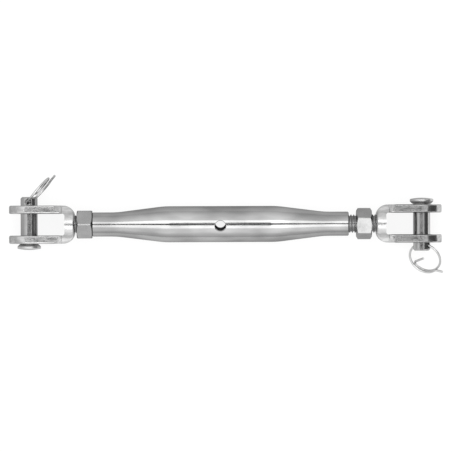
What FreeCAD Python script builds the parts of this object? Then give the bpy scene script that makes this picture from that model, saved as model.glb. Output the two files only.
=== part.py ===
import FreeCAD, Part
import math
import os

import Sketcher

# A rigging turnbuckle with a closed barrel and a clevis fork at each end, in millimetres.
# X runs along the rod, Y along the clevis pins and Z up, as it lies on a bench.
# The origin is on the rod's axis, at the middle of the barrel.

DRIVING = {
    # Threads: both studs, both lock nuts and both ends of the barrel
    "thread_diameter": 12.0,
    "thread_clearance": 0.05,
    "thread_lead_in": 1.0,
    # Barrel: a pipe that is swaged down at both ends
    "barrel_length": 166.5,
    "barrel_diameter": 23.5,
    "barrel_end_diameter": 15.7,
    "barrel_straight_length": 73.0,
    "barrel_neck_length": 15.8,
    "barrel_blend_radius": 60.0,
    "barrel_wall": 3.0,
    "barrel_thread_length": 25.0,
    "barrel_edge_chamfer": 0.5,
    "tommy_hole_diameter": 6.8,
    "tommy_hole_chamfer": 0.4,
    "tommy_hole_tilt": 6.5,
    # Forks
    "fork_gap": 14.1,
    "arm_thickness": 5.35,
    "eye_radius": 13.0,
    "neck_width": 24.7,
    "jaw_depth": 23.5,
    "web_thickness": 6.1,
    "web_diameter": 24.7,
    "web_boss_length": 8.0,
    "web_edge_radius": 1.2,
    "shoulder_radius": 7.6,
    "shoulder_dome_length": 9.0,
    "shoulder_dome_rise": 6.1,
    "shoulder_dome_radius": 12.3,
    "throat_radius": 1.6,
    "arm_edge_radius": 1.0,
    "eye_chamfer": 0.4,
    "stud_length": 79.5,
    # Lock nuts
    "nut_across_flats": 18.0,
    "nut_thickness": 10.0,
    "nut_face_diameter": 17.2,
    "left_nut_turn": 0.0,
    "right_nut_turn": 21.0,
    # Clevis pins
    "pin_diameter": 11.0,
    "pin_clearance": 0.05,
    "pin_end_play": 0.4,
    "pin_end_chamfer": 1.0,
    "pin_head_diameter": 15.2,
    "pin_head_height": 3.9,
    "pin_head_bevel": 1.6,
    "pin_head_foot_diameter": 12.0,
    "pin_head_dome": 0.8,
    "pin_head_edge_radius": 0.6,
    "ring_hole_diameter": 3.4,
    "ring_hole_past_arm": 1.8,
    "ring_hole_from_end": 3.5,
    "ring_hole_chamfer": 0.5,
    "left_pin_turn": 94.0,
    "right_pin_turn": 28.9,
    "left_pin_head_gap": 0.1,
    # Split rings
    "ring_wire_diameter": 1.5,
    "ring_mean_radius": 10.4,
    "ring_pitch": 1.9,
    "ring_start_angle": -60.0,
    "ring_end_angle": -505.0,
    "ring_tail_bend_radius": 1.8,
    "ring_inner_tail_turn": 105.0,
    "ring_inner_tail_length": 6.3,
    "ring_outer_tail_turn": 45.0,
    "ring_outer_tail_length": 4.3,
    "left_ring_swing": -42.0,
    "right_ring_swing": 31.0,
    "left_ring_slide_angle": -225.0,
    "right_ring_slide_angle": -270.0,
    # How far each fork is screwed out, and where the loose nut stands
    "left_thread_showing": 1.5,
    "right_thread_showing": 2.9,
    "right_nut_from_barrel": 5.0,
    "nut_seat_gap": 0.0,
}

DERIVED = {
    # Barrel profile, along X and out from the axis
    "barrel_end": "Sizes.barrel_length / 2",
    "barrel_end_radius": "Sizes.barrel_end_diameter / 2",
    "barrel_radius": "Sizes.barrel_diameter / 2",
    "barrel_edge_start": "Sizes.barrel_length / 2 - Sizes.barrel_edge_chamfer",
    "barrel_edge_radius": "Sizes.barrel_end_diameter / 2 - Sizes.barrel_edge_chamfer",
    "barrel_straight_end": "Sizes.barrel_straight_length / 2",
    "swage_start": "Sizes.barrel_length / 2 - Sizes.barrel_neck_length",
    "swage_length": "swage_start - barrel_straight_end",
    "swage_rise": "(Sizes.barrel_diameter - Sizes.barrel_end_diameter) / 2",
    "swage_slant": "sqrt(swage_length ^ 2 + swage_rise ^ 2)",
    "swage_tangent": "Sizes.barrel_blend_radius * (swage_slant - swage_length) / swage_rise",
    "tangent_along": "swage_tangent * swage_length / swage_slant",
    "tangent_out": "swage_tangent * swage_rise / swage_slant",
    "neck_blend_near": "swage_start + swage_tangent",
    "neck_blend_far": "swage_start - tangent_along",
    "neck_blend_radius": "barrel_end_radius + tangent_out",
    "shoulder_blend_near": "barrel_straight_end + tangent_along",
    "shoulder_blend_far": "barrel_straight_end - swage_tangent",
    "shoulder_blend_radius": "barrel_radius - tangent_out",
    "thread_bore_radius": "Sizes.thread_diameter / 2 + Sizes.thread_clearance",
    "thread_mouth_radius": "Sizes.thread_diameter / 2 + Sizes.thread_clearance"
    " + Sizes.barrel_edge_chamfer",
    "barrel_thread_end": "Sizes.barrel_length / 2 - Sizes.barrel_thread_length",
    "cavity_radius": "Sizes.barrel_diameter / 2 - Sizes.barrel_wall",
    "tommy_hole_radius": "Sizes.tommy_hole_diameter / 2",
    # Fork, from the clevis pin's axis towards the stud
    "arm_outside": "Sizes.fork_gap / 2 + Sizes.arm_thickness",
    "fork_width": "Sizes.fork_gap + 2 * Sizes.arm_thickness",
    "half_gap": "Sizes.fork_gap / 2",
    "half_neck": "Sizes.neck_width / 2",
    "fork_base": "Sizes.jaw_depth + Sizes.web_thickness",
    "web_radius": "Sizes.web_diameter / 2",
    "boss_start": "Sizes.jaw_depth + Sizes.web_thickness - Sizes.web_boss_length",
    "dome_top": "Sizes.jaw_depth + Sizes.web_thickness - Sizes.web_boss_length"
    " - Sizes.shoulder_dome_length",
    "dome_top_radius": "Sizes.web_diameter / 2 + Sizes.shoulder_dome_rise",
    "past_base": "Sizes.jaw_depth + Sizes.web_thickness + 1",
    "past_radius": "Sizes.web_diameter / 2 + Sizes.shoulder_dome_rise + 3",
    "past_eye": "Sizes.eye_radius + 1",
    "eye_hole_radius": "Sizes.pin_diameter / 2 + Sizes.pin_clearance",
    "stud_root": "Sizes.jaw_depth + Sizes.web_thickness / 2",
    "stud_radius": "Sizes.thread_diameter / 2",
    "stud_end": "Sizes.jaw_depth + Sizes.web_thickness + Sizes.stud_length",
    "stud_tip": "Sizes.jaw_depth + Sizes.web_thickness + Sizes.stud_length - Sizes.thread_lead_in",
    "stud_tip_radius": "Sizes.thread_diameter / 2 - Sizes.thread_lead_in",
    # Lock nut, along its own axis
    "nut_corner": "Sizes.nut_across_flats / 2 / cos(30)",
    "nut_half_flat": "Sizes.nut_across_flats / 2 * tan(30)",
    "nut_half_width": "Sizes.nut_across_flats / 2",
    "nut_face_radius": "Sizes.nut_face_diameter / 2",
    "past_corner": "Sizes.nut_across_flats / 2 / cos(30) + 1",
    "nut_bevel": "(Sizes.nut_across_flats / 2 / cos(30) + 1 - Sizes.nut_face_diameter / 2)"
    " * tan(30)",
    "nut_bevel_back": "Sizes.nut_thickness"
    " - (Sizes.nut_across_flats / 2 / cos(30) + 1 - Sizes.nut_face_diameter / 2) * tan(30)",
    # Clevis pin, along its own axis from the underside of the head
    "ring_hole_place": "Sizes.fork_gap + 2 * Sizes.arm_thickness + Sizes.pin_end_play"
    " + Sizes.ring_hole_past_arm",
    "pin_length": "ring_hole_place + Sizes.ring_hole_from_end",
    "pin_radius": "Sizes.pin_diameter / 2",
    "pin_tip_radius": "Sizes.pin_diameter / 2 - Sizes.pin_end_chamfer",
    "pin_tip": "pin_length - Sizes.pin_end_chamfer",
    "pin_foot_radius": "Sizes.pin_head_foot_diameter / 2",
    "pin_head_radius": "Sizes.pin_head_diameter / 2",
    "pin_rim_top": "Sizes.pin_head_height - Sizes.pin_head_dome",
    "pin_dome_radius": "(pin_head_radius ^ 2 + Sizes.pin_head_dome ^ 2) / (2 * Sizes.pin_head_dome)",
    "ring_hole_radius": "Sizes.ring_hole_diameter / 2",
    # Where the pieces stand along the rod
    "left_fork_place": "-(Sizes.barrel_length / 2 + Sizes.nut_seat_gap + Sizes.nut_thickness"
    " + Sizes.left_thread_showing + Sizes.jaw_depth + Sizes.web_thickness)",
    "right_fork_place": "Sizes.barrel_length / 2 + Sizes.right_nut_from_barrel + Sizes.nut_thickness"
    " + Sizes.right_thread_showing + Sizes.jaw_depth + Sizes.web_thickness",
    "left_nut_place": "-(Sizes.barrel_length / 2 + Sizes.nut_seat_gap + Sizes.nut_thickness)",
    "right_nut_place": "Sizes.barrel_length / 2 + Sizes.right_nut_from_barrel",
    "left_pin_place": "-(Sizes.fork_gap / 2 + Sizes.arm_thickness + Sizes.left_pin_head_gap)",
    "right_pin_place": "Sizes.fork_gap / 2 + Sizes.arm_thickness + Sizes.pin_end_play",
}

X_AXIS = FreeCAD.Vector(1, 0, 0)
Y_AXIS = FreeCAD.Vector(0, 1, 0)
Z_AXIS = FreeCAD.Vector(0, 0, 1)
# Two lengths or volumes this near each other count as the same
CLOSE = 0.01

doc = FreeCAD.newDocument("Turnbuckle")


def fill_sheet(name, cells):
    """A spreadsheet with one named cell in each row."""
    sheet = doc.addObject("Spreadsheet::Sheet", name)
    for row, (alias, content) in enumerate(cells.items(), 1):
        sheet.set(f"A{row}", alias)
        sheet.set(f"B{row}", content)
        sheet.setAlias(f"B{row}", alias)
    doc.recompute()
    return sheet


sizes = fill_sheet("Sizes", {alias: str(value) for alias, value in DRIVING.items()})
places = fill_sheet("Places", {alias: "=" + formula for alias, formula in DERIVED.items()})


def number(name):
    """The value of a named cell. A leading minus turns it round, and 0 stands for itself."""
    if name == "0":
        return 0.0
    if name.startswith("-"):
        return -number(name[1:])
    return float(getattr(sizes if name in DRIVING else places, name))


def cell(name):
    """The same cell as an expression."""
    if name == "0":
        return "0"
    if name.startswith("-"):
        return "-" + cell(name[1:])
    return ("Sizes." if name in DRIVING else "Places.") + name


def new_body(label):
    body = doc.addObject("PartDesign::Body", label)
    body.Label = label
    return body


def plane_of(body, role):
    return next(feature for feature in body.Origin.OriginFeatures if feature.Role == role)


def new_sketch(body, name, role):
    sketch = body.newObject("Sketcher::SketchObject", name)
    sketch.AttachmentSupport = [(plane_of(body, role), "")]
    sketch.MapMode = "FlatFace"
    return sketch


def bind(sketch, kind, first, second, name):
    """A distance from the sketch's origin that follows a named cell."""
    row = sketch.addConstraint(Sketcher.Constraint(kind, -1, 1, first, second, number(name)))
    if name != "0":
        sketch.setExpression(f"Constraints[{row}]", cell(name))


def bind_radius(sketch, curve, name):
    row = sketch.addConstraint(Sketcher.Constraint("Radius", curve, number(name)))
    sketch.setExpression(f"Constraints[{row}]", cell(name))


def arc_between(start, end, radius):
    """The short arc of this radius that runs counterclockwise from start to end."""
    chord = end - start
    rise = math.sqrt(radius**2 - (chord.Length / 2) ** 2)
    centre = (start + end) / 2 + FreeCAD.Vector(-chord.y, chord.x, 0).normalize() * rise
    angles = [math.atan2(point.y - centre.y, point.x - centre.x) for point in (start, end)]
    return Part.ArcOfCircle(Part.Circle(centre, Z_AXIS, radius), *angles)


def outline(body, name, role, corners, arcs=None):
    """A closed outline through named corners. arcs gives some sides a named radius, by the number
    of their first corner. Such a side curves to the left on the way round, or to the right where
    the name has a leading minus."""
    arcs = arcs or {}
    sketch = new_sketch(body, name, role)
    points = [FreeCAD.Vector(number(across), number(up), 0) for across, up in corners]
    ends = []
    for i, here in enumerate(points):
        there = points[(i + 1) % len(points)]
        turns_right = arcs.get(i, "").startswith("-")
        ends.append((2, 1) if turns_right else (1, 2))
        if i not in arcs:
            sketch.addGeometry(Part.LineSegment(here, there), False)
        elif turns_right:
            sketch.addGeometry(arc_between(there, here, -number(arcs[i])), False)
        else:
            sketch.addGeometry(arc_between(here, there, number(arcs[i])), False)
    for i in range(len(points)):
        following = (i + 1) % len(points)
        joined = (i, ends[i][1], following, ends[following][0])
        sketch.addConstraint(Sketcher.Constraint("Coincident", *joined))
    for i, (across, up) in enumerate(corners):
        bind(sketch, "DistanceX", i, ends[i][0], across)
        bind(sketch, "DistanceY", i, ends[i][0], up)
    for i, radius in arcs.items():
        bind_radius(sketch, i, radius.lstrip("-"))
    return sketch


def circle_outline(body, name, role, radius, across="0", up="0"):
    sketch = new_sketch(body, name, role)
    centre = FreeCAD.Vector(number(across), number(up), 0)
    sketch.addGeometry(Part.Circle(centre, Z_AXIS, number(radius)), False)
    bind(sketch, "DistanceX", 0, 3, across)
    bind(sketch, "DistanceY", 0, 3, up)
    bind_radius(sketch, 0, radius)
    return sketch


def pad(body, name, sketch, length, both_ways=True):
    feature = body.newObject("PartDesign::Pad", name)
    feature.Profile = sketch
    feature.Midplane = both_ways
    feature.setExpression("Length", cell(length))
    doc.recompute()
    return feature


def cut_through(body, name, sketch):
    """A pocket that leaves by both sides."""
    before = body.Shape.Volume
    feature = body.newObject("PartDesign::Pocket", name)
    feature.Profile = sketch
    feature.Type = "ThroughAll"
    feature.Midplane = True
    doc.recompute()
    check_cut(body, feature, before)
    return feature


def spin(body, kind, name, sketch, axis):
    """A profile turned right round an axis of its sketch, added or cut away."""
    before = body.Shape.Volume if kind == "PartDesign::Groove" else 0
    feature = body.newObject(kind, name)
    feature.Profile = sketch
    feature.ReferenceAxis = (sketch, [axis])
    feature.Angle = 360
    doc.recompute()
    if kind == "PartDesign::Groove":
        check_cut(body, feature, before)
    return feature


def check_cut(body, feature, before):
    if body.Shape.Volume > before - CLOSE:
        raise RuntimeError(f"{feature.Label} of {body.Label} cuts nothing")


def dress(body, kind, name, size, wanted):
    """A fillet or chamfer on the edges of the body's last feature that wanted() picks."""
    base = body.Tip
    edges = [(i, edge) for i, edge in enumerate(base.Shape.Edges, 1) if not edge.Degenerated]
    names = [f"Edge{i}" for i, edge in edges if wanted(edge)]
    if not names:
        raise RuntimeError(f"{name} of {body.Label} finds no edge")
    feature = body.newObject(kind, name)
    feature.Base = (base, names)
    feature.setExpression("Radius" if kind == "PartDesign::Fillet" else "Size", cell(size))
    doc.recompute()
    if "Invalid" in feature.State or "Error" in feature.State:
        raise RuntimeError(f"{name} of {body.Label} is {feature.State}")
    return feature


def near(value, wanted):
    return abs(value - wanted) < CLOSE


def middle(edge):
    return edge.valueAt((edge.FirstParameter + edge.LastParameter) / 2)


def stands_at(edge, x, y):
    """Is this edge an upright line through (x, y), on either side of the rod?"""
    at = edge.CenterOfMass
    upright = isinstance(edge.Curve, Part.Line) and near(abs(edge.Curve.Direction.z), 1)
    return upright and near(at.x, x) and near(abs(at.y), y)


def is_ring_at(edge, radius, along):
    """Is this edge a circle round the X axis, at this distance from the body's middle?"""
    round_x = isinstance(edge.Curve, Part.Circle) and near(abs(edge.Curve.Axis.x), 1)
    return round_x and near(edge.Curve.Radius, radius) and near(abs(edge.Curve.Center.x), along)


def is_pin_hole_mouth(edge):
    return isinstance(edge.Curve, Part.Circle) and near(edge.Curve.Radius, number("eye_hole_radius"))


def is_arm_edge(edge):
    """Is this edge on the rim of an arm: round the eye, or along the neck behind it?"""
    at = middle(edge)
    on_face = near(abs(at.y), number("arm_outside")) or near(abs(at.y), number("half_gap"))
    is_circle = isinstance(edge.Curve, Part.Circle)
    round_eye = is_circle and near(edge.Curve.Radius, number("eye_radius"))
    is_line = isinstance(edge.Curve, Part.Line) and near(abs(edge.Curve.Direction.x), 1)
    along_neck = is_line and near(abs(at.z), number("half_neck"))
    return on_face and (round_eye or along_neck)


def make_barrel():
    """Pipe, swaged to a long neck at both ends, with threaded ends and a cross hole for a bar."""
    body = new_body("barrel")
    half = (
        ("barrel_end", "thread_mouth_radius"),
        ("barrel_end", "barrel_edge_radius"),
        ("barrel_edge_start", "barrel_end_radius"),
        ("neck_blend_near", "barrel_end_radius"),
        ("neck_blend_far", "neck_blend_radius"),
        ("shoulder_blend_near", "shoulder_blend_radius"),
        ("shoulder_blend_far", "barrel_radius"),
    )
    inside = (
        ("barrel_straight_end", "cavity_radius"),
        ("barrel_thread_end", "thread_bore_radius"),
        ("barrel_edge_start", "thread_bore_radius"),
    )
    outer_left = [("-" + along, out) for along, out in reversed(half)]
    inner_left = [("-" + along, out) for along, out in reversed(inside)]
    corners = [*half, *outer_left, *inner_left, *inside]
    # The swage curves in at the neck and out again at the shoulder, on both ends
    neck, shoulder = "-barrel_blend_radius", "barrel_blend_radius"
    blends = {3: neck, 5: shoulder, 7: shoulder, 9: neck}
    profile = outline(body, "BarrelProfile", "XY_Plane", corners, blends)
    spin(body, "PartDesign::Revolution", "BarrelTurned", profile, "H_Axis")

    hole = circle_outline(body, "TommyHole", "XY_Plane", "tommy_hole_radius")
    hole.AttachmentOffset = FreeCAD.Placement(
        FreeCAD.Vector(), FreeCAD.Rotation(X_AXIS, number("tommy_hole_tilt"))
    )
    hole.setExpression("AttachmentOffset.Rotation.Angle", cell("tommy_hole_tilt"))
    cut_through(body, "TommyHoleCut", hole)

    hole_reach, outside = number("tommy_hole_radius"), number("barrel_radius")

    def hole_mouth(edge):
        at = middle(edge)
        round_hole = not isinstance(edge.Curve, Part.Line) and abs(at.x) < hole_reach + CLOSE
        return round_hole and near(math.hypot(at.y, at.z), outside)

    dress(body, "PartDesign::Chamfer", "TommyHoleMouths", "tommy_hole_chamfer", hole_mouth)
    return body


def make_fork(label):
    """Clevis with its threaded stud, in one piece. Its own X runs from the pin's axis to the stud."""
    body = new_body(label)
    neck_corners = (
        ("0", "-half_neck"),
        ("fork_base", "-half_neck"),
        ("fork_base", "half_neck"),
        ("0", "half_neck"),
    )
    neck = outline(body, label + "_neck", "XZ_Plane", neck_corners)
    pad(body, label + "_block", neck, "fork_width")
    eye = circle_outline(body, label + "_eye", "XZ_Plane", "eye_radius")
    pad(body, label + "_eyes", eye, "fork_width")

    base, outside = number("fork_base"), number("arm_outside")
    dress(
        body,
        "PartDesign::Fillet",
        label + "_shoulders",
        "shoulder_radius",
        lambda edge: stands_at(edge, base, outside),
    )

    turned_corners = (
        ("dome_top", "dome_top_radius"),
        ("boss_start", "web_radius"),
        ("past_base", "web_radius"),
        ("past_base", "past_radius"),
        ("dome_top", "past_radius"),
    )
    dome = {0: "-shoulder_dome_radius"}
    turned = outline(body, label + "_turning", "XY_Plane", turned_corners, dome)
    spin(body, "PartDesign::Groove", label + "_turned", turned, "H_Axis")
    web_radius = number("web_radius")
    dress(
        body,
        "PartDesign::Fillet",
        label + "_web_edge",
        "web_edge_radius",
        lambda edge: is_ring_at(edge, web_radius, base),
    )

    jaw_corners = (
        ("-past_eye", "-half_gap"),
        ("jaw_depth", "-half_gap"),
        ("jaw_depth", "half_gap"),
        ("-past_eye", "half_gap"),
    )
    jaw = outline(body, label + "_jaw", "XY_Plane", jaw_corners)
    cut_through(body, label + "_jaw_cut", jaw)
    depth, inside = number("jaw_depth"), number("half_gap")
    dress(
        body,
        "PartDesign::Fillet",
        label + "_throat",
        "throat_radius",
        lambda edge: stands_at(edge, depth, inside),
    )

    stud_corners = (
        ("stud_root", "0"),
        ("stud_end", "0"),
        ("stud_end", "stud_tip_radius"),
        ("stud_tip", "stud_radius"),
        ("stud_root", "stud_radius"),
    )
    stud = outline(body, label + "_stud", "XY_Plane", stud_corners)
    spin(body, "PartDesign::Revolution", label + "_stud_turned", stud, "H_Axis")

    hole = circle_outline(body, label + "_pin_hole", "XZ_Plane", "eye_hole_radius")
    cut_through(body, label + "_pin_hole_cut", hole)
    dress(body, "PartDesign::Chamfer", label + "_pin_hole_mouths", "eye_chamfer", is_pin_hole_mouth)
    dress(body, "PartDesign::Fillet", label + "_arm_edges", "arm_edge_radius", is_arm_edge)
    return body


def make_nut(label):
    """Hexagon nut, bevelled on both sides. Its own Z is the thread's axis."""
    body = new_body(label)
    corners = (
        ("nut_half_flat", "-nut_half_width"),
        ("nut_corner", "0"),
        ("nut_half_flat", "nut_half_width"),
        ("-nut_half_flat", "nut_half_width"),
        ("-nut_corner", "0"),
        ("-nut_half_flat", "-nut_half_width"),
    )
    hexagon = outline(body, label + "_hexagon", "XY_Plane", corners)
    pad(body, label + "_block", hexagon, "nut_thickness", both_ways=False)
    near_bevel = (
        ("nut_face_radius", "0"),
        ("past_corner", "nut_bevel"),
        ("past_corner", "0"),
    )
    far_bevel = (
        ("nut_face_radius", "nut_thickness"),
        ("past_corner", "nut_thickness"),
        ("past_corner", "nut_bevel_back"),
    )
    for name, bevel in (("_near_bevel", near_bevel), ("_far_bevel", far_bevel)):
        sketch = outline(body, label + name, "XZ_Plane", bevel)
        spin(body, "PartDesign::Groove", label + name + "_cut", sketch, "V_Axis")
    bore = circle_outline(body, label + "_bore", "XY_Plane", "thread_bore_radius")
    cut_through(body, label + "_bore_cut", bore)

    radius = number("thread_bore_radius")

    def bore_mouth(edge):
        return isinstance(edge.Curve, Part.Circle) and near(edge.Curve.Radius, radius)

    dress(body, "PartDesign::Chamfer", label + "_bore_mouths", "barrel_edge_chamfer", bore_mouth)
    return body


def make_pin(label):
    """Clevis pin with a bevelled, slightly domed head and a cross hole. Its own Z is its axis."""
    body = new_body(label)
    corners = (
        ("0", "-pin_head_height"),
        ("pin_head_radius", "-pin_rim_top"),
        ("pin_head_radius", "-pin_head_bevel"),
        ("pin_foot_radius", "0"),
        ("pin_radius", "0"),
        ("pin_radius", "pin_tip"),
        ("pin_tip_radius", "pin_length"),
        ("0", "pin_length"),
    )
    profile = outline(body, label + "_profile", "XZ_Plane", corners, {0: "pin_dome_radius"})
    spin(body, "PartDesign::Revolution", label + "_turned", profile, "V_Axis")
    rim = number("pin_head_radius"), -number("pin_rim_top")

    def head_rim(edge):
        is_circle = isinstance(edge.Curve, Part.Circle)
        return is_circle and near(edge.Curve.Radius, rim[0]) and near(edge.Curve.Center.z, rim[1])

    dress(body, "PartDesign::Fillet", label + "_head_edge", "pin_head_edge_radius", head_rim)

    hole_name = label + "_ring_hole"
    hole = circle_outline(body, hole_name, "YZ_Plane", "ring_hole_radius", "0", "ring_hole_place")
    cut_through(body, hole_name + "_cut", hole)
    radius, height = number("pin_radius"), number("ring_hole_place")

    def hole_mouth(edge):
        at = middle(edge)
        on_pin = near(math.hypot(at.x, at.y), radius)
        near_hole = math.hypot(at.y, at.z - height) < number("ring_hole_radius") + CLOSE
        return on_pin and near_hole

    dress(body, "PartDesign::Chamfer", label + "_ring_hole_mouths", "ring_hole_chamfer", hole_mouth)
    return body


def bend(start, along, towards, radius, degrees):
    """An arc that leaves start in direction along and curves towards another direction at right
    angles to it, with its end point and the direction there."""

    def point(turn):
        sideways = towards * (radius * (1 - math.cos(turn)))
        return start + along * (radius * math.sin(turn)) + sideways

    turn = math.radians(degrees)
    heading = along * math.cos(turn) + towards * math.sin(turn)
    arc = Part.Arc(start, point(turn / 2), point(turn)).toShape()
    return arc, point(turn), heading


def make_ring(label, slide_angle):
    """Split ring of round wire: a coil of about one and a quarter turns with both ends bent.
    Its own Z is the coil's axis, and slide_angle is the angle of the coil that is in the pin."""
    radius, pitch = number("ring_mean_radius"), number("ring_pitch")
    start, end = number("ring_start_angle"), number("ring_end_angle")
    at_pin = number(slide_angle)
    turns = (start - end) / 360
    coil = Part.makeHelix(pitch, pitch * turns, radius)
    coil.rotate(FreeCAD.Vector(), X_AXIS, 180)
    coil.rotate(FreeCAD.Vector(), Z_AXIS, start)
    coil.translate(Z_AXIS * (pitch * (start - at_pin) / 360))

    def place(angle):
        across = math.radians(angle)
        height = pitch * (angle - at_pin) / 360
        return FreeCAD.Vector(radius * math.cos(across), radius * math.sin(across), height)

    def heading(angle):
        """The direction of travel, which is clockwise seen from above."""
        across = math.radians(angle)
        step = FreeCAD.Vector(math.sin(across), -math.cos(across), -pitch / (2 * math.pi * radius))
        return step.normalize()

    def outwards(angle):
        across = math.radians(angle)
        return FreeCAD.Vector(math.cos(across), math.sin(across), 0)

    tail_bend = number("ring_tail_bend_radius")
    outer_arc, outer_point, outer_heading = bend(
        place(start), -heading(start), outwards(start), tail_bend, number("ring_outer_tail_turn")
    )
    outer_end = outer_point + outer_heading * number("ring_outer_tail_length")
    inner_arc, inner_point, inner_heading = bend(
        place(end), heading(end), -outwards(end), tail_bend, number("ring_inner_tail_turn")
    )
    inner_end = inner_point + inner_heading * number("ring_inner_tail_length")
    path = Part.Wire(
        Part.sortEdges(
            [
                Part.makeLine(outer_end, outer_point),
                outer_arc,
                *coil.Edges,
                inner_arc,
                Part.makeLine(inner_point, inner_end),
            ]
        )[0]
    )
    wire = Part.Circle(outer_end, outer_heading, number("ring_wire_diameter") / 2)
    section = Part.Wire([wire.toShape()])
    shape = path.makePipeShell([section], True, True)
    expected = math.pi / 4 * number("ring_wire_diameter") ** 2 * path.Length
    print(f"{label}: length {path.Length:.2f} volume {shape.Volume:.2f} expected {expected:.2f}")
    ring = doc.addObject("Part::Feature", label)
    ring.Label = label
    ring.Shape = shape
    return ring


def stand(body, expression, rotation):
    """Puts a body on the rod's axis, at a named place."""
    body.Placement = FreeCAD.Placement(FreeCAD.Vector(number(expression), 0, 0), rotation)
    body.setExpression("Placement.Base.x", cell(expression))


def place_pin(pin, fork_place, pin_place, free_end, turn):
    """Puts a clevis pin through its fork. free_end is +1 or -1 along Y, and turn is the angle of
    its cross hole above +X."""
    angle = math.radians(number(turn))
    across = FreeCAD.Vector(math.cos(angle), 0, math.sin(angle))
    along = Y_AXIS * free_end
    rotation = FreeCAD.Rotation(across, along.cross(across), along, "ZXY")
    base = FreeCAD.Vector(number(fork_place), number(pin_place), 0)
    pin.Placement = FreeCAD.Placement(base, rotation)
    pin.setExpression("Placement.Base.x", cell(fork_place))
    pin.setExpression("Placement.Base.y", cell(pin_place))


def rounded(vector, digits):
    return tuple(round(value, digits) for value in vector)


def place_ring(ring, pin, swing, slide_angle):
    """Threads a split ring through its pin's cross hole. swing turns it about the hole from
    straight outwards, and slide_angle is the angle of its coil that comes to the hole."""
    hole = pin.Placement.multVec(FreeCAD.Vector(0, 0, number("ring_hole_place")))
    across = pin.Placement.Rotation.multVec(X_AXIS)
    outwards = pin.Placement.Rotation.multVec(Z_AXIS)
    angle = math.radians(number(swing))
    hangs = outwards * math.cos(angle) + across.cross(outwards) * math.sin(angle)
    radius, half_pin = number("ring_mean_radius"), number("pin_radius")
    bulge = (radius - math.sqrt(radius**2 - half_pin**2)) / 2
    centre = hole + hangs * (radius - bulge)
    threaded = FreeCAD.Rotation(across, -hangs, across.cross(-hangs), "ZXY")
    slid_round = FreeCAD.Rotation(Z_AXIS, 90 - number(slide_angle))
    ring.Placement = FreeCAD.Placement(centre, threaded * slid_round)
    print(f"{ring.Label}: hinge at {rounded(hole, 4)}, axis {rounded(across, 6)}")


barrel = make_barrel()

left_fork = make_fork("left_fork")
stand(left_fork, "left_fork_place", FreeCAD.Rotation())
right_fork = make_fork("right_fork")
stand(right_fork, "right_fork_place", FreeCAD.Rotation(Z_AXIS, 180))

# The thread's axis is a nut's own Z, which lies along X here, with two flats up and down the rod
nut_lies = FreeCAD.Rotation(Y_AXIS, 90)
left_nut = make_nut("left_lock_nut")
stand(left_nut, "left_nut_place", FreeCAD.Rotation(X_AXIS, number("left_nut_turn")) * nut_lies)
right_nut = make_nut("right_lock_nut")
stand(right_nut, "right_nut_place", FreeCAD.Rotation(X_AXIS, number("right_nut_turn")) * nut_lies)

left_pin = make_pin("left_clevis_pin")
place_pin(left_pin, "left_fork_place", "left_pin_place", 1, "left_pin_turn")
right_pin = make_pin("right_clevis_pin")
place_pin(right_pin, "right_fork_place", "right_pin_place", -1, "right_pin_turn")

left_ring = make_ring("left_split_ring", "left_ring_slide_angle")
place_ring(left_ring, left_pin, "left_ring_swing", "left_ring_slide_angle")
right_ring = make_ring("right_split_ring", "right_ring_slide_angle")
place_ring(right_ring, right_pin, "right_ring_swing", "right_ring_slide_angle")

doc.recompute()

for thing in doc.Objects:
    if "Invalid" in thing.State or "Error" in thing.State:
        raise RuntimeError(f"{thing.Label} is {thing.State}")

pieces = [
    barrel,
    left_fork,
    right_fork,
    left_nut,
    right_nut,
    left_pin,
    right_pin,
    left_ring,
    right_ring,
]
os.makedirs("parts", exist_ok=True)
for piece in pieces:
    if piece.Shape.isNull() or not piece.Shape.isValid() or len(piece.Shape.Solids) != 1:
        raise RuntimeError(f"{piece.Label} has no sound solid")
    piece.Shape.exportStep(f"parts/{piece.Label}.step")
    centre = piece.Shape.Solids[0].CenterOfMass
    print(f"{piece.Label}: {piece.Shape.Volume:.1f} mm3, centre {rounded(centre, 2)}")
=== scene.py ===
# %% [markdown]
# # A polished steel turnbuckle
#
# This lesson dresses a rigging turnbuckle: a closed barrel, two clevis forks with threaded
# studs, two lock nuts, two clevis pins and two split rings. All of it is stainless steel, so
# the lesson is about two things: giving each piece the marks of the way it was made, and
# building a small studio around it, because polished metal shows hardly anything but what it
# reflects.

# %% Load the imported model
import math

import bmesh
import bpy
from mathutils import Matrix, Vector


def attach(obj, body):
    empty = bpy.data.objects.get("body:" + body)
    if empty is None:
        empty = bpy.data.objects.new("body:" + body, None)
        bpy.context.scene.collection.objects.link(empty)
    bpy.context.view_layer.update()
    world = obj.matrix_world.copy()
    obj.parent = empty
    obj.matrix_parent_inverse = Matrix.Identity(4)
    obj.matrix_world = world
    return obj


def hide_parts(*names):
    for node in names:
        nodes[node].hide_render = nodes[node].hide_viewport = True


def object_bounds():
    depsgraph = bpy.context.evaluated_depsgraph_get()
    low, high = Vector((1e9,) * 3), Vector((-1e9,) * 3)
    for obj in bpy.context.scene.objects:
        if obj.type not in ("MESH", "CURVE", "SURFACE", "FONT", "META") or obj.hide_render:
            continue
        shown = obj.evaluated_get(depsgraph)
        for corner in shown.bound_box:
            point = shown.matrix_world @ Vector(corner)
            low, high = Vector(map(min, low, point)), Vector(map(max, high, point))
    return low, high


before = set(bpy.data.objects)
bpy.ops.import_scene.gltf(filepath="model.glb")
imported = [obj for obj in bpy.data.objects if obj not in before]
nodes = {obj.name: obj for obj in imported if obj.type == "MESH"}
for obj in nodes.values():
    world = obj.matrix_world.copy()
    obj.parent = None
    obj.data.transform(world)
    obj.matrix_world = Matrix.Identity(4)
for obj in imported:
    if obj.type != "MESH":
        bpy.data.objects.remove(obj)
cad_low, cad_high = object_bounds()
MM = 0.001
print("nodes:", ", ".join(sorted(nodes)))

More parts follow.
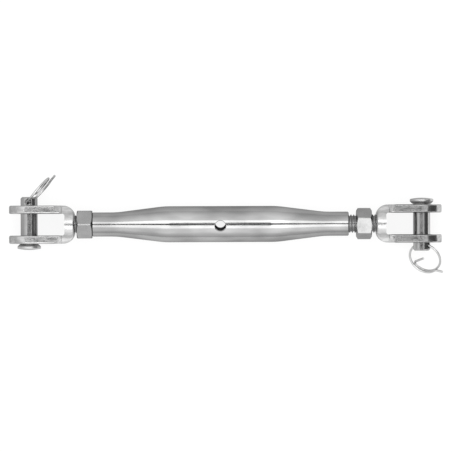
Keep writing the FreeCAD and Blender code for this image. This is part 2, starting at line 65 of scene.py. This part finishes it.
# %% [markdown]
# ## The camera
#
# The photo looks straight down on the part, almost without perspective. So the camera hangs
# high above it with a long lens. One pixel of the photo is 0.65 mm at the rod's axis, which
# fixes the width of the view. The barrel's middle lies a little off the picture's middle, and
# the rod a fifth of a degree off level.

# %% Hang the camera over the part
PHOTO_PIXELS = 452
PIXEL = 0.65 * MM
BARREL_PIXELS_ACROSS = 220.45
BARREL_PIXELS_DOWN = 224.1
ROD_TILT = math.radians(0.2)
CAMERA_HEIGHT = 2.0
FURTHEST_SEEN = 50

camera_data = bpy.data.cameras.new("camera")
camera_data.lens = camera_data.sensor_width * CAMERA_HEIGHT / (PHOTO_PIXELS * PIXEL)
camera_data.clip_end = FURTHEST_SEEN
camera = bpy.data.objects.new("camera", camera_data)
bpy.context.scene.collection.objects.link(camera)
along_rod = (PHOTO_PIXELS / 2 - BARREL_PIXELS_ACROSS) * PIXEL
across_rod = (BARREL_PIXELS_DOWN - PHOTO_PIXELS / 2) * PIXEL
tilt = Matrix.Rotation(-ROD_TILT, 4, "Z")
camera.matrix_world = tilt @ Matrix.Translation((along_rod, across_rod, CAMERA_HEIGHT))
bpy.context.scene.camera = camera
print("lens:", round(camera_data.lens, 1), "mm")

# %% [markdown]
# ## The studio: a paper floor
#
# Polished steel shows hardly anything but what stands round it, so the studio is half of the
# look. The part lies on white paper. Bright lamps could bring plain paper up to white, but
# they would burn out the steel too. So the paper is a dull grey one with a light of its own
# that only the camera and mirroring faces see. It comes out white and keeps a faint shadow,
# and the part isn't flooded with its light.

# %% Lay out the paper
FLOOR_Z = cad_low.z
FLOOR_SIZE = 12.0
PAPER_GREY = 0.13
SEEN_LIFT = 0.88
MIRRORED_LIFT = 0.6


def new_material(name):
    """A material with an empty node tree, and its output node."""
    material = bpy.data.materials.new(name)
    material.use_nodes = True
    material.node_tree.nodes.clear()
    output = material.node_tree.nodes.new("ShaderNodeOutputMaterial")
    return material, material.node_tree, output


def flat_square(name, material, size_x, size_y, place):
    """A level rectangle around a place, scaled from a one-metre square."""
    bm = bmesh.new()
    bmesh.ops.create_grid(bm, x_segments=1, y_segments=1, size=0.5)
    bmesh.ops.scale(bm, vec=(size_x, size_y, 1), verts=bm.verts)
    bmesh.ops.translate(bm, vec=place, verts=bm.verts)
    mesh = bpy.data.meshes.new(name)
    bm.to_mesh(mesh)
    bm.free()
    mesh.materials.append(material)
    square = bpy.data.objects.new(name, mesh)
    bpy.context.scene.collection.objects.link(square)
    return square


def paper_material():
    """Grey paper, with its own light added for the kinds of rays that see it."""
    material, tree, output = new_material("white_paper")
    paper = tree.nodes.new("ShaderNodeBsdfDiffuse")
    paper.inputs["Color"].default_value = (PAPER_GREY, PAPER_GREY, PAPER_GREY, 1)
    rays = tree.nodes.new("ShaderNodeLightPath")
    strength = None
    for kind, lift in (
        ("Is Camera Ray", SEEN_LIFT),
        ("Is Glossy Ray", MIRRORED_LIFT),
        ("Is Transmission Ray", MIRRORED_LIFT),
    ):
        add = tree.nodes.new("ShaderNodeMath")
        add.operation = "MULTIPLY_ADD"
        tree.links.new(rays.outputs[kind], add.inputs[0])
        add.inputs[1].default_value = lift
        add.inputs[2].default_value = 0
        if strength is not None:
            tree.links.new(strength, add.inputs[2])
        strength = add.outputs[0]
    glow = tree.nodes.new("ShaderNodeEmission")
    tree.links.new(strength, glow.inputs["Strength"])
    both = tree.nodes.new("ShaderNodeAddShader")
    tree.links.new(paper.outputs[0], both.inputs[0])
    tree.links.new(glow.outputs[0], both.inputs[1])
    tree.links.new(both.outputs[0], output.inputs["Surface"])
    return material


flat_square("floor", paper_material(), FLOOR_SIZE, FLOOR_SIZE, (0, 0, FLOOR_Z))
bpy.context.scene.view_settings.view_transform = "Standard"
print("floor at", round(FLOOR_Z / MM, 2), "mm")

# %% [markdown]
# ## A graded sky
#
# A round bar mirrors what is overhead near its middle and the horizon on its flanks. An even
# sky would make it look flat. In this one, strength rises with the height of the direction,
# so the barrel gets darker towards both sides, as a bar on a table in a room does.

# %% Grade the sky
SKY_AT_HORIZON = 0.62
SKY_OVERHEAD = 1.34


def graded_sky():
    """A white dome whose strength rises with the height of the direction."""
    world = bpy.data.worlds.new("graded_sky")
    world.use_nodes = True
    tree = world.node_tree
    direction = tree.nodes.new("ShaderNodeTexCoord")
    parts = tree.nodes.new("ShaderNodeSeparateXYZ")
    tree.links.new(direction.outputs["Generated"], parts.inputs[0])
    grade = tree.nodes.new("ShaderNodeMapRange")
    grade.inputs["To Min"].default_value = SKY_AT_HORIZON
    grade.inputs["To Max"].default_value = SKY_OVERHEAD
    tree.links.new(parts.outputs["Z"], grade.inputs["Value"])
    background = tree.nodes["Background"]
    background.inputs["Color"].default_value = (1, 1, 1, 1)
    tree.links.new(grade.outputs[0], background.inputs["Strength"])
    return world


bpy.context.scene.world = graded_sky()
print("sky from", SKY_AT_HORIZON, "to", SKY_OVERHEAD)

# %% [markdown]
# ## Long lamps
#
# The barrel has two white bands along it with a dark line between them. That is what a long
# lamp at each side of the camera looks like in a round bar, so two level rectangles of light
# hang there, and a weak third one carries on from the near band. On the bar only the
# direction of a lamp's edge counts. So each lamp is given by the two directions between which
# it shines, and its place and width follow.

# %% Hang the lamps beside the camera
RIG_HEIGHT = 1.0
LAMP_LENGTH = 1.1
SLOT_EDGE = 5
# Each lamp's side of the rod, its inner and outer edge in degrees off vertical, its brightness
LONG_LAMPS = {
    "far_lamp": (1, SLOT_EDGE, 24, 1.1),
    "near_lamp": (-1, SLOT_EDGE, 27, 1.1),
    "near_soft_lamp": (-1, 27, 62, 0.2),
}


def rig_reach(angle):
    """How far off the rod a direction, in degrees off vertical, meets the rig's height."""
    return RIG_HEIGHT * math.tan(math.radians(angle))


def long_lamp(name, side, inside, outside, brightness):
    """A level rectangle of light that shines down, between two directions at one side."""
    inner, outer = rig_reach(inside), rig_reach(outside)
    lamp = bpy.data.lights.new(name, "AREA")
    lamp.shape = "RECTANGLE"
    lamp.size = LAMP_LENGTH
    lamp.size_y = outer - inner
    lamp.energy = math.pi * brightness * lamp.size * lamp.size_y
    holder = bpy.data.objects.new(name, lamp)
    bpy.context.scene.collection.objects.link(holder)
    holder.location = (0, side * (inner + outer) / 2, RIG_HEIGHT)
    holder.visible_camera = False


for name, (side, inside, outside, brightness) in LONG_LAMPS.items():
    long_lamp(name, side, inside, outside, brightness)
print("lamps:", ", ".join(LONG_LAMPS))

# %% [markdown]
# ## Dark cards
#
# Dark lines in polished steel are mirrored dark things. Between the lamps, a strip of black
# cloth closes the slot that the camera looks through, and two smaller black pieces stand for
# the camera itself, which the flat tops mirror. Two grey cards past the right-hand end darken
# what faces that way. Cards could cast shadows too, but these are here only for the mirrored
# picture, so they are seen by nothing but reflections.

# %% Set up the dark cards
SLOT_CLOTH_GREY = 0.03
END_CARD_GREY = 0.14
ABOVE_OR_BELOW_RIG = 0.01
# Each shade's length, its width, and its place along the rod, in metres
CAMERA_SHADES = {
    "camera_front": (0.054, 0.37, 0.033),
    "camera_arm": (0.036, 0.35, -0.051),
}
# Each card's height, its width, its place along the rod, and the height of its foot, in metres
END_CARDS = {
    "end_card": (1.4, 0.7, 1.0, 0.02),
    "low_end_card": (0.12, 0.2, 0.34, -0.01),
}


def cloth_material(name, grey):
    """Plain cloth of one grey."""
    material, tree, output = new_material(name)
    cloth = tree.nodes.new("ShaderNodeBsdfDiffuse")
    cloth.inputs["Color"].default_value = (grey, grey, grey, 1)
    tree.links.new(cloth.outputs[0], output.inputs["Surface"])
    return material


def reflected_square(name, material, size_x, size_y, place):
    """A level rectangle that shows in reflections only, and shades and lights nothing."""
    square = flat_square(name, material, size_x, size_y, place)
    square.visible_camera = False
    square.visible_shadow = False
    square.visible_diffuse = False
    return square


black = cloth_material("black_cloth", SLOT_CLOTH_GREY)
slot_width = 2 * rig_reach(SLOT_EDGE)
slot_height = RIG_HEIGHT + ABOVE_OR_BELOW_RIG
reflected_square("camera_slot", black, LAMP_LENGTH, slot_width, (0, 0, slot_height))
shade_height = RIG_HEIGHT - ABOVE_OR_BELOW_RIG
for name, (long, wide, along) in CAMERA_SHADES.items():
    reflected_square(name, black, long, wide, (along, 0, shade_height))

dark_grey = cloth_material("grey_cloth", END_CARD_GREY)
upright = Matrix.Rotation(math.radians(90), 4, "Y")
for name, (tall, wide, along, foot) in END_CARDS.items():
    card = reflected_square(name, dark_grey, tall, wide, (0, 0, 0))
    card.data.transform(Matrix.Translation((along, 0, foot + tall / 2)) @ upright)
print("slot", round(slot_width / MM), "mm wide")

# %% [markdown]
# ## Bounce boards
#
# Where an edge of the part turns down towards the floor, the photo has it pale. A bright
# sheet beside the part does that. Two boards lie just over the paper, one along the near side
# and one past the right-hand end, and like the cards they are seen by reflections only.

# %% Lay the bounce boards
# Each board's glow, and its sides: from x to x and from y to y, in metres
BOUNCE_BOARDS = {
    "near_board": (1.0, (-0.25, 0.25), (-0.612, -0.012)),
    "end_board": (1.5, (0.147, 0.33), (-0.1, 0.1)),
}
OFF_THE_FLOOR = 0.2 * MM


def board_material(name, strength):
    """A board that shines back evenly."""
    material, tree, output = new_material(name)
    glow = tree.nodes.new("ShaderNodeEmission")
    glow.inputs["Strength"].default_value = strength
    tree.links.new(glow.outputs[0], output.inputs["Surface"])
    return material


for name, (glow, (low_x, high_x), (low_y, high_y)) in BOUNCE_BOARDS.items():
    board_white = board_material(name + "_white", glow)
    middle = ((low_x + high_x) / 2, (low_y + high_y) / 2, FLOOR_Z + OFF_THE_FLOOR)
    reflected_square(name, board_white, high_x - low_x, high_y - low_y, middle)
print("boards:", ", ".join(BOUNCE_BOARDS))

# %% [markdown]
# ## Steel
#
# All pieces are one metal, and what tells them apart is how they were made. The barrel was
# drawn and polished along its length. The forks were forged and buffed by hand, which leaves
# soft waves in their flats. The nuts and pins were cut on a lathe, and the rings are drawn
# wire. A picture of each surface could be wrapped round it, but the marks are only noise with
# a grain. So noise is stretched along the way each piece was worked, and used as a height.

# %% Noise and relief
# Most of a noise's values lie between these two
NOISE_LOW, NOISE_HIGH = 0.3, 0.7


def noise_along(tree, place, scale, detail):
    """Noise whose grain follows scale, in grains per metre along X, Y and Z."""
    stretch = tree.nodes.new("ShaderNodeMapping")
    stretch.inputs["Scale"].default_value = scale
    tree.links.new(place.outputs["Object"], stretch.inputs["Vector"])
    noise = tree.nodes.new("ShaderNodeTexNoise")
    noise.inputs["Scale"].default_value = 1.0
    noise.inputs["Detail"].default_value = detail
    tree.links.new(stretch.outputs[0], noise.inputs["Vector"])
    return noise.outputs["Fac"]


def spread(tree, value, low, high):
    """Brings the middle of a noise to a range of values."""
    ranged = tree.nodes.new("ShaderNodeMapRange")
    ranged.inputs["From Min"].default_value = NOISE_LOW
    ranged.inputs["From Max"].default_value = NOISE_HIGH
    ranged.inputs["To Min"].default_value = low
    ranged.inputs["To Max"].default_value = high
    tree.links.new(value, ranged.inputs["Value"])
    return ranged.outputs[0]


def relief(tree, height, depth, below=None):
    """A bump of a height map, on top of the relief below it if there is one."""
    bump = tree.nodes.new("ShaderNodeBump")
    bump.inputs["Strength"].default_value = 1.0
    bump.inputs["Distance"].default_value = depth
    tree.links.new(height, bump.inputs["Height"])
    if below is not None:
        tree.links.new(below, bump.inputs["Normal"])
    return bump.outputs[0]


print("noise is read from", NOISE_LOW, "to", NOISE_HIGH)

# %% [markdown]
# ## Zones with a polish and painted light of their own
#
# Hands and tools don't reach every place alike: the heads of the pins are duller than their
# shanks, and the shoulders of the forks a little smoother. On the forks a zone also carries
# painted light: the shoulders' grey is raised as a painted highlight, and the right fork's
# arms are darkened as painted shade, most of all on their rounded edges. Separate materials
# would meet in hard lines. So a zone is a soft mask inside one material, made from where a
# point lies on the piece.

# %% The mask of a zone
BOTH_SIDES = 0


def maths(tree, operation, first, second):
    """A Math node on two values, each of which is a number or another node's output."""
    node = tree.nodes.new("ShaderNodeMath")
    node.operation = operation
    for socket, value in zip(node.inputs, (first, second)):
        if isinstance(value, float):
            socket.default_value = value
        else:
            tree.links.new(value, socket)
    return node.outputs[0]


def inside_zone(tree, place, ramps):
    """From 0 outside a zone to 1 inside it, where all of its ramps are full.

    A ramp is an axis, a side, and where it starts and is full in millimetres. The side is what
    the place along the axis is multiplied by, or BOTH_SIDES for its distance from the middle.
    """
    parts = tree.nodes.new("ShaderNodeSeparateXYZ")
    tree.links.new(place.outputs["Object"], parts.inputs[0])
    mask = None
    for axis, side, start, full in ramps:
        if side == BOTH_SIDES:
            out = maths(tree, "ABSOLUTE", parts.outputs[axis], 0.0)
        else:
            out = maths(tree, "MULTIPLY", parts.outputs[axis], float(side))
        ramp = tree.nodes.new("ShaderNodeMapRange")
        ramp.interpolation_type = "SMOOTHSTEP"
        ramp.inputs["From Min"].default_value = start * MM
        ramp.inputs["From Max"].default_value = full * MM
        tree.links.new(out, ramp.inputs["Value"])
        if mask is None:
            mask = ramp.outputs[0]
        else:
            mask = maths(tree, "MULTIPLY", mask, ramp.outputs[0])
    return mask


# Each zone's ramps, what its grey is multiplied by, and what is added to its roughness
LEFT_HEAD = ([("Y", -1, 12.4, 12.8)], 1.3, 0.2)
RIGHT_HEAD = ([("Y", 1, 12.4, 12.8)], 1.3, 0.2)
BESIDE_JAW = ("Y", BOTH_SIDES, 6.5, 9.5)
# Painted highlight: the forks' shoulders get half as much grey again, for the bright light
# their domes mirror; their roughness drops a little
LEFT_SHOULDERS_PAINTED_HIGHLIGHT = ([("X", 1, -107.5, -102.0), BESIDE_JAW], 1.5, -0.03)
RIGHT_SHOULDERS_PAINTED_HIGHLIGHT = ([("X", -1, -113.9, -108.4), BESIDE_JAW], 1.5, -0.03)
PAST_SHOULDERS = ("X", 1, 111.0, 114.0)
ARM_EDGE = ("Z", BOTH_SIDES, 10.8, 11.6)
INNER_RIM = ("Y", BOTH_SIDES, 8.1, 7.7)
OUTER_RIM = ("Y", BOTH_SIDES, 11.4, 11.8)
# Painted shade: the right fork's arms are darkened, their rounded rims most of all, for the
# darker light they mirror
RIGHT_ARMS_PAINTED_SHADE = ([PAST_SHOULDERS], 0.8, 0.0)
RIGHT_INNER_RIMS_PAINTED_SHADE = ([PAST_SHOULDERS, ARM_EDGE, INNER_RIM], 0.6, 0.0)
RIGHT_OUTER_RIMS_PAINTED_SHADE = ([PAST_SHOULDERS, ARM_EDGE, OUTER_RIM], 0.6, 0.0)
PIN_ZONES = {"left": [LEFT_HEAD], "right": [RIGHT_HEAD]}
FORK_ZONES = {
    "left": [LEFT_SHOULDERS_PAINTED_HIGHLIGHT],
    "right": [RIGHT_SHOULDERS_PAINTED_HIGHLIGHT, RIGHT_ARMS_PAINTED_SHADE, RIGHT_INNER_RIMS_PAINTED_SHADE, RIGHT_OUTER_RIMS_PAINTED_SHADE],
}
print("zones on the right fork:", len(FORK_ZONES["right"]))

# %% [markdown]
# ## One recipe for every steel
#
# Real steel that was worked by hand or on a lathe is never one even grey. Its polish comes
# and goes softly, with fine marks on top and broad waves below. Eight materials with the same
# nodes would be long to write out, so one function makes them all: from a grey, a range of
# roughness, two kinds of relief and the zones.

# %% A steel with marks, waves and zones
CLOUD_DETAIL = 2.0
WAVE_DETAIL = 1.0
MARK_DETAIL = 3.0
STEEL_GREY = {
    "barrel": 0.42,
    "fork": 0.51,
    "thread": 0.35,
    "nut": 0.36,
    "pin": 0.42,
    "ring": 0.62,
}


def steel(name, grey, rough, edge_tint, marks, waves, clouds, cloudy=0.07, zones=()):
    """A steel.

    rough is the range of its roughness, and edge_tint is how bright it mirrors at a glancing
    angle. marks and waves are (grains per metre along X, Y and Z, depth). clouds is the grain
    of the roughness and of the grey, which changes by the share cloudy to both sides. zones
    are places with a roughness and a grey of their own; on the forks that grey is painted
    light, a painted highlight on the shoulders and painted shade on the right arms.
    """
    material, tree, output = new_material(name)
    shader = tree.nodes.new("ShaderNodeBsdfPrincipled")
    shader.inputs["Metallic"].default_value = 1.0
    shader.inputs["Specular Tint"].default_value = (edge_tint, edge_tint, edge_tint, 1)
    tree.links.new(shader.outputs[0], output.inputs["Surface"])
    place = tree.nodes.new("ShaderNodeTexCoord")
    cloud = noise_along(tree, place, clouds, CLOUD_DETAIL)
    roughness = spread(tree, cloud, rough[0], rough[1])
    shade = spread(tree, cloud, grey * (1 + cloudy), grey * (1 - cloudy))
    # A zone scales the grey: painted highlight on the forks' shoulders, painted shade on the
    # right fork's arms
    for ramps, paler, rougher in zones:
        mask = inside_zone(tree, place, ramps)
        roughness = maths(tree, "ADD", roughness, maths(tree, "MULTIPLY", mask, rougher))
        more = maths(tree, "ADD", maths(tree, "MULTIPLY", mask, paler - 1.0), 1.0)
        shade = maths(tree, "MULTIPLY", shade, more)
    tree.links.new(roughness, shader.inputs["Roughness"])
    tone = tree.nodes.new("ShaderNodeCombineColor")
    for channel in ("Red", "Green", "Blue"):
        tree.links.new(shade, tone.inputs[channel])
    tree.links.new(tone.outputs[0], shader.inputs["Base Color"])
    broad = relief(tree, noise_along(tree, place, waves[0], WAVE_DETAIL), waves[1])
    fine = relief(tree, noise_along(tree, place, marks[0], MARK_DETAIL), marks[1], broad)
    tree.links.new(fine, shader.inputs["Normal"])
    return material


print("steels:", ", ".join(sorted(STEEL_GREY)))

# %% [markdown]
# ## The steels of the pieces
#
# On the real object the marks run the way the tool went, so a steel's grain is coarse along
# that way and fine across it. It runs along X on the drawn barrel and the forks, and round
# the pins and the nuts, whose lathe marks lie close together along the axis. The wire of the
# rings turns all the time, so its grain is the same in all directions. The forks, buffed by
# hand, have the closest waves.

# %% Barrel and fork steels
barrel_steel = steel(
    "drawn_polished_steel",
    STEEL_GREY["barrel"],
    rough=(0.1, 0.16),
    edge_tint=0.5,
    marks=((60, 1800, 1800), 0.006 * MM),
    waves=((25, 60, 60), 0.12 * MM),
    clouds=(35, 90, 90),
    cloudy=0.25,
)
fork_steel = {}
for side, zones in FORK_ZONES.items():
    fork_steel[side] = steel(
        "buffed_fork_steel_" + side,
        STEEL_GREY["fork"],
        rough=(0.17, 0.28),
        edge_tint=0.6,
        marks=((300, 1100, 1100), 0.012 * MM),
        waves=((90, 380, 380), 0.03 * MM),
        clouds=(200, 480, 480),
        cloudy=0.16,
        zones=zones,
    )
print("made:", barrel_steel.name, *[made.name for made in fork_steel.values()])

# %% Nut, pin and ring steels
nut_steel = steel(
    "machined_steel",
    STEEL_GREY["nut"],
    rough=(0.2, 0.3),
    edge_tint=0.5,
    marks=((1500, 250, 250), 0.003 * MM),
    waves=((120, 120, 120), 0.03 * MM),
    clouds=(180, 180, 180),
)
pin_steel = {}
for side, zones in PIN_ZONES.items():
    pin_steel[side] = steel(
        "turned_pin_steel_" + side,
        STEEL_GREY["pin"],
        rough=(0.14, 0.22),
        edge_tint=0.6,
        marks=((30, 2500, 30), 0.004 * MM),
        waves=((60, 60, 60), 0.012 * MM),
        clouds=(90, 90, 90),
        zones=zones,
    )
ring_steel = steel(
    "drawn_wire_steel",
    STEEL_GREY["ring"],
    rough=(0.17, 0.25),
    edge_tint=0.7,
    marks=((900, 900, 900), 0.006 * MM),
    waves=((200, 200, 200), 0.03 * MM),
    clouds=(200, 200, 200),
)
print("made:", nut_steel.name, *[made.name for made in pin_steel.values()], ring_steel.name)

# %% [markdown]
# ## Threaded studs
#
# The frame's studs are plain round bars, but the thread shows between the barrel, the lock
# nuts and the forks, and it is what a turnbuckle is about. Bump in a material would leave the
# stud's outline straight. So a thread is one profile of a ridge wound round the stud: a spin
# that also moves along, by one pitch for the turn. That one turn is copied along the stud,
# pitch after pitch, and the edges that neighbouring turns share are merged. One stud is
# left-handed and the other right-handed, which is only the sign of the spin.

# %% One ridge, wound into a threaded rod
THREAD_PITCH = 1.75 * MM
THREAD_RADIUS = 6.0 * MM
THREAD_DEPTH = 0.95 * MM
CREST_FLAT = THREAD_PITCH / 8
ROOT_FLAT = THREAD_PITCH / 4
THREAD_STEPS = 48
# Turns wound before the rod's start and past its end, which are cut off
SPARE_BEFORE = 2
SPARE_PAST = 1
MERGE_WITHIN = 0.002 * MM
SLICE_WITHIN = 0.0005 * MM


def all_of(bm):
    """The corners, edges and faces of a mesh, as an operator takes them."""
    return bm.verts[:] + bm.edges[:] + bm.faces[:]


def slice_off(bm, place, outwards):
    """Cuts a mesh square to the rod and drops what is past the cut: 1 or -1 along X."""
    bmesh.ops.bisect_plane(
        bm,
        geom=all_of(bm),
        dist=SLICE_WITHIN,
        plane_co=(place, 0, 0),
        plane_no=(outwards, 0, 0),
        clear_outer=True,
    )


def close_ends(bm):
    """A face over every open end."""
    bmesh.ops.holes_fill(bm, edges=[edge for edge in bm.edges if edge.is_boundary], sides=0)


def wound_thread(start, end, hand):
    """A threaded rod along X from start to end, with both ends cut square and closed."""
    bm = bmesh.new()
    root = THREAD_RADIUS - THREAD_DEPTH
    flank = (THREAD_PITCH - CREST_FLAT - ROOT_FLAT) / 2
    ridge = (
        (0, root),
        (flank, THREAD_RADIUS),
        (flank + CREST_FLAT, THREAD_RADIUS),
        (2 * flank + CREST_FLAT, root),
        (THREAD_PITCH, root),
    )
    first = start - SPARE_BEFORE * THREAD_PITCH
    corners = [bm.verts.new((first + along, 0, out)) for along, out in ridge]
    sides = [bm.edges.new(pair) for pair in zip(corners, corners[1:])]
    bmesh.ops.spin(
        bm,
        geom=corners + sides,
        cent=(0, 0, 0),
        axis=(1, 0, 0),
        dvec=(THREAD_PITCH / THREAD_STEPS, 0, 0),
        angle=hand * 2 * math.pi,
        steps=THREAD_STEPS,
    )
    one_turn = all_of(bm)
    turns = SPARE_BEFORE + math.ceil((end - start) / THREAD_PITCH) + SPARE_PAST
    for turn_number in range(1, turns):
        copied = bmesh.ops.duplicate(bm, geom=one_turn)
        moved = [item for item in copied["geom"] if isinstance(item, bmesh.types.BMVert)]
        bmesh.ops.translate(bm, vec=(turn_number * THREAD_PITCH, 0, 0), verts=moved)
    bmesh.ops.remove_doubles(bm, verts=bm.verts, dist=MERGE_WITHIN)
    slice_off(bm, start, -1)
    slice_off(bm, end, 1)
    close_ends(bm)
    bmesh.ops.recalc_face_normals(bm, faces=bm.faces)
    return bm


trial = wound_thread(0, 10 * MM, 1)
print("ten millimetres of thread:", len(trial.faces), "faces")
trial.free()

# %% [markdown]
# ## Smooth faces, sharp edges
#
# A turned or milled piece is smooth along its rounds and crisp where two cuts meet. Flat
# shading would show every facet, and smooth shading alone would blur the crisp edges. So all
# faces are smooth, the edges with a real angle are marked sharp, and a Weighted Normal
# modifier lets the large flats lead, so that they mirror as flats.

# %% Finish a mesh as a piece
SHARP_EDGE = math.radians(28)


def finish_piece(bm, name, materials):
    """A mesh as a finished object, smooth but for the edges with a real angle."""
    for face in bm.faces:
        face.smooth = True
    for edge in bm.edges:
        edge.smooth = not edge.is_manifold or edge.calc_face_angle() < SHARP_EDGE
    mesh = bpy.data.meshes.new(name)
    bm.to_mesh(mesh)
    bm.free()
    for material in materials:
        mesh.materials.append(material)
    piece = bpy.data.objects.new(name, mesh)
    bpy.context.scene.collection.objects.link(piece)
    weigh = piece.modifiers.new("flat_faces_lead", "WEIGHTED_NORMAL")
    weigh.keep_sharp = True
    return piece


print("sharp from", round(math.degrees(SHARP_EDGE)), "degrees on")

# %% [markdown]
# ## Forks with their threads
#
# A fork is forged, and its stud is turned and threaded in one piece with it. The frame's
# plain stud is as thick as the thread's crests and would hide the thread. So a merged copy of
# the frame's fork loses its stud, which is sliced off just past the fork's base. The threaded
# rod takes its place, starts a little inside the base, and has a short cone at its tip, which
# leads it into the barrel. The two are one piece, which replaces the frame's fork.

# %% Steel of the thread, and the cone at its tip
THREAD_LEAD_IN = 1.0 * MM

thread_steel = steel(
    "rolled_thread_steel",
    STEEL_GREY["thread"],
    rough=(0.25, 0.35),
    edge_tint=0.6,
    marks=((700, 700, 700), 0.01 * MM),
    waves=((200, 200, 200), 0.03 * MM),
    clouds=(200, 200, 200),
)


def taper_tip(bm, tip):
    """The lead-in: near the tip nothing stands out further than a short cone."""
    for vert in bm.verts:
        out = math.hypot(vert.co.y, vert.co.z)
        limit = THREAD_RADIUS - THREAD_LEAD_IN + abs(tip - vert.co.x)
        if out > limit:
            vert.co.y *= limit / out
            vert.co.z *= limit / out


print("made:", thread_steel.name)

# %% Slice the plain studs off
FORK_BASE = {"left": -94.75 * MM, "right": 101.15 * MM}
# Which way along X the barrel lies
INWARDS = {"left": 1, "right": -1}
SLICED_PAST_BASE = 0.1 * MM


def merged_copy(node):
    """A copy of a frame node's mesh, with its loose triangles merged into one skin."""
    bm = bmesh.new()
    bm.from_mesh(nodes[node].data)
    bmesh.ops.remove_doubles(bm, verts=bm.verts, dist=MERGE_WITHIN)
    return bm


def fork_without_stud(side):
    """A merged copy of the frame's fork, sliced just past its base and closed there."""
    bm = merged_copy(side + "_fork")
    slice_off(bm, FORK_BASE[side] + INWARDS[side] * SLICED_PAST_BASE, INWARDS[side])
    close_ends(bm)
    return bm


print("bases at", [round(base / MM, 2) for base in FORK_BASE.values()], "mm")

# %% Join each fork with its thread
STUD_TIP = {"left": -15.25 * MM, "right": 21.65 * MM}
THREAD_HAND = {"left": -1, "right": 1}
ROD_INSIDE_BASE = 0.5 * MM
THREAD_SLOT = 1


def threaded_fork(side):
    """A fork and its threaded stud, as the piece that replaces the frame's fork."""
    bm = fork_without_stud(side)
    rod_start = FORK_BASE[side] - INWARDS[side] * ROD_INSIDE_BASE
    low_x, high_x = sorted((rod_start, STUD_TIP[side]))
    rod = wound_thread(low_x, high_x, THREAD_HAND[side])
    taper_tip(rod, STUD_TIP[side])
    for face in rod.faces:
        face.material_index = THREAD_SLOT
    rod_mesh = bpy.data.meshes.new(side + "_rod")
    rod.to_mesh(rod_mesh)
    rod.free()
    bm.from_mesh(rod_mesh)
    bpy.data.meshes.remove(rod_mesh)
    piece = finish_piece(bm, side + "_threaded_fork", (fork_steel[side], thread_steel))
    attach(piece, side + "_fork")
    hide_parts(side + "_fork")
    print(piece.name, len(piece.data.polygons), "faces")


for side in ("left", "right"):
    threaded_fork(side)

# %% [markdown]
# ## Nuts with rounded corners
#
# The frame's nuts have six dead sharp corners. On a real nut each corner is a little round,
# and in polished steel such a round catches the lamps as a thin bright line. A shader node
# can fake such a round in a render, but an exported mesh doesn't keep it. So a merged copy of
# each nut gets a real bevel on the six edges that run along the rod. The copy of the loose
# nut is also turned a little on its stud: in the photo its brightest flat leans towards the
# near side, by as much as the frame's leans away from it.

# %% Bevel the nuts' corners
CORNER_ROUND = 0.5 * MM
CORNER_SEGMENTS = 3
NUT_CORNER = math.radians(50)
MOSTLY_ALONG = 0.9
TURNED_FURTHER = {"left": 0, "right": math.radians(18)}


def is_nut_corner(edge):
    """An outside edge between two of the six flats."""
    if not edge.is_manifold or not edge.is_convex:
        return False
    first, last = edge.verts
    runs_along = abs(last.co.x - first.co.x) > MOSTLY_ALONG * edge.calc_length()
    return runs_along and edge.calc_face_angle() > NUT_CORNER


def rounded_nut(side):
    """A nut with rounded corners, as the piece that replaces the frame's nut."""
    bm = merged_copy(side + "_lock_nut")
    bmesh.ops.recalc_face_normals(bm, faces=bm.faces)
    corners = [edge for edge in bm.edges if is_nut_corner(edge)]
    bmesh.ops.bevel(
        bm,
        geom=corners,
        offset=CORNER_ROUND,
        offset_type="OFFSET",
        affect="EDGES",
        segments=CORNER_SEGMENTS,
        profile=0.5,
        material=-1,
        clamp_overlap=True,
    )
    bmesh.ops.recalc_face_normals(bm, faces=bm.faces)
    turned = Matrix.Rotation(TURNED_FURTHER[side], 4, "X")
    bmesh.ops.transform(bm, matrix=turned, verts=bm.verts)
    piece = finish_piece(bm, side + "_rounded_nut", (nut_steel,))
    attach(piece, side + "_lock_nut")
    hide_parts(side + "_lock_nut")
    print(piece.name, len(corners), "corner edges,", len(piece.data.polygons), "faces")


for side in ("left", "right"):
    rounded_nut(side)

# %% [markdown]
# ## Dress the frame's own pieces
#
# The barrel, pins and rings are turned, drawn and bent to plain smooth forms, and the frame
# already has them. New copies would add nothing, so they stay and get their steels.

# %% Steels on the frame's pieces
frame_steels = {"barrel": barrel_steel}
for side in ("left", "right"):
    frame_steels[side + "_clevis_pin"] = pin_steel[side]
    frame_steels[side + "_split_ring"] = ring_steel
for node, material in frame_steels.items():
    mesh = nodes[node].data
    mesh.materials.clear()
    mesh.materials.append(material)
print("dressed:", ", ".join(frame_steels))
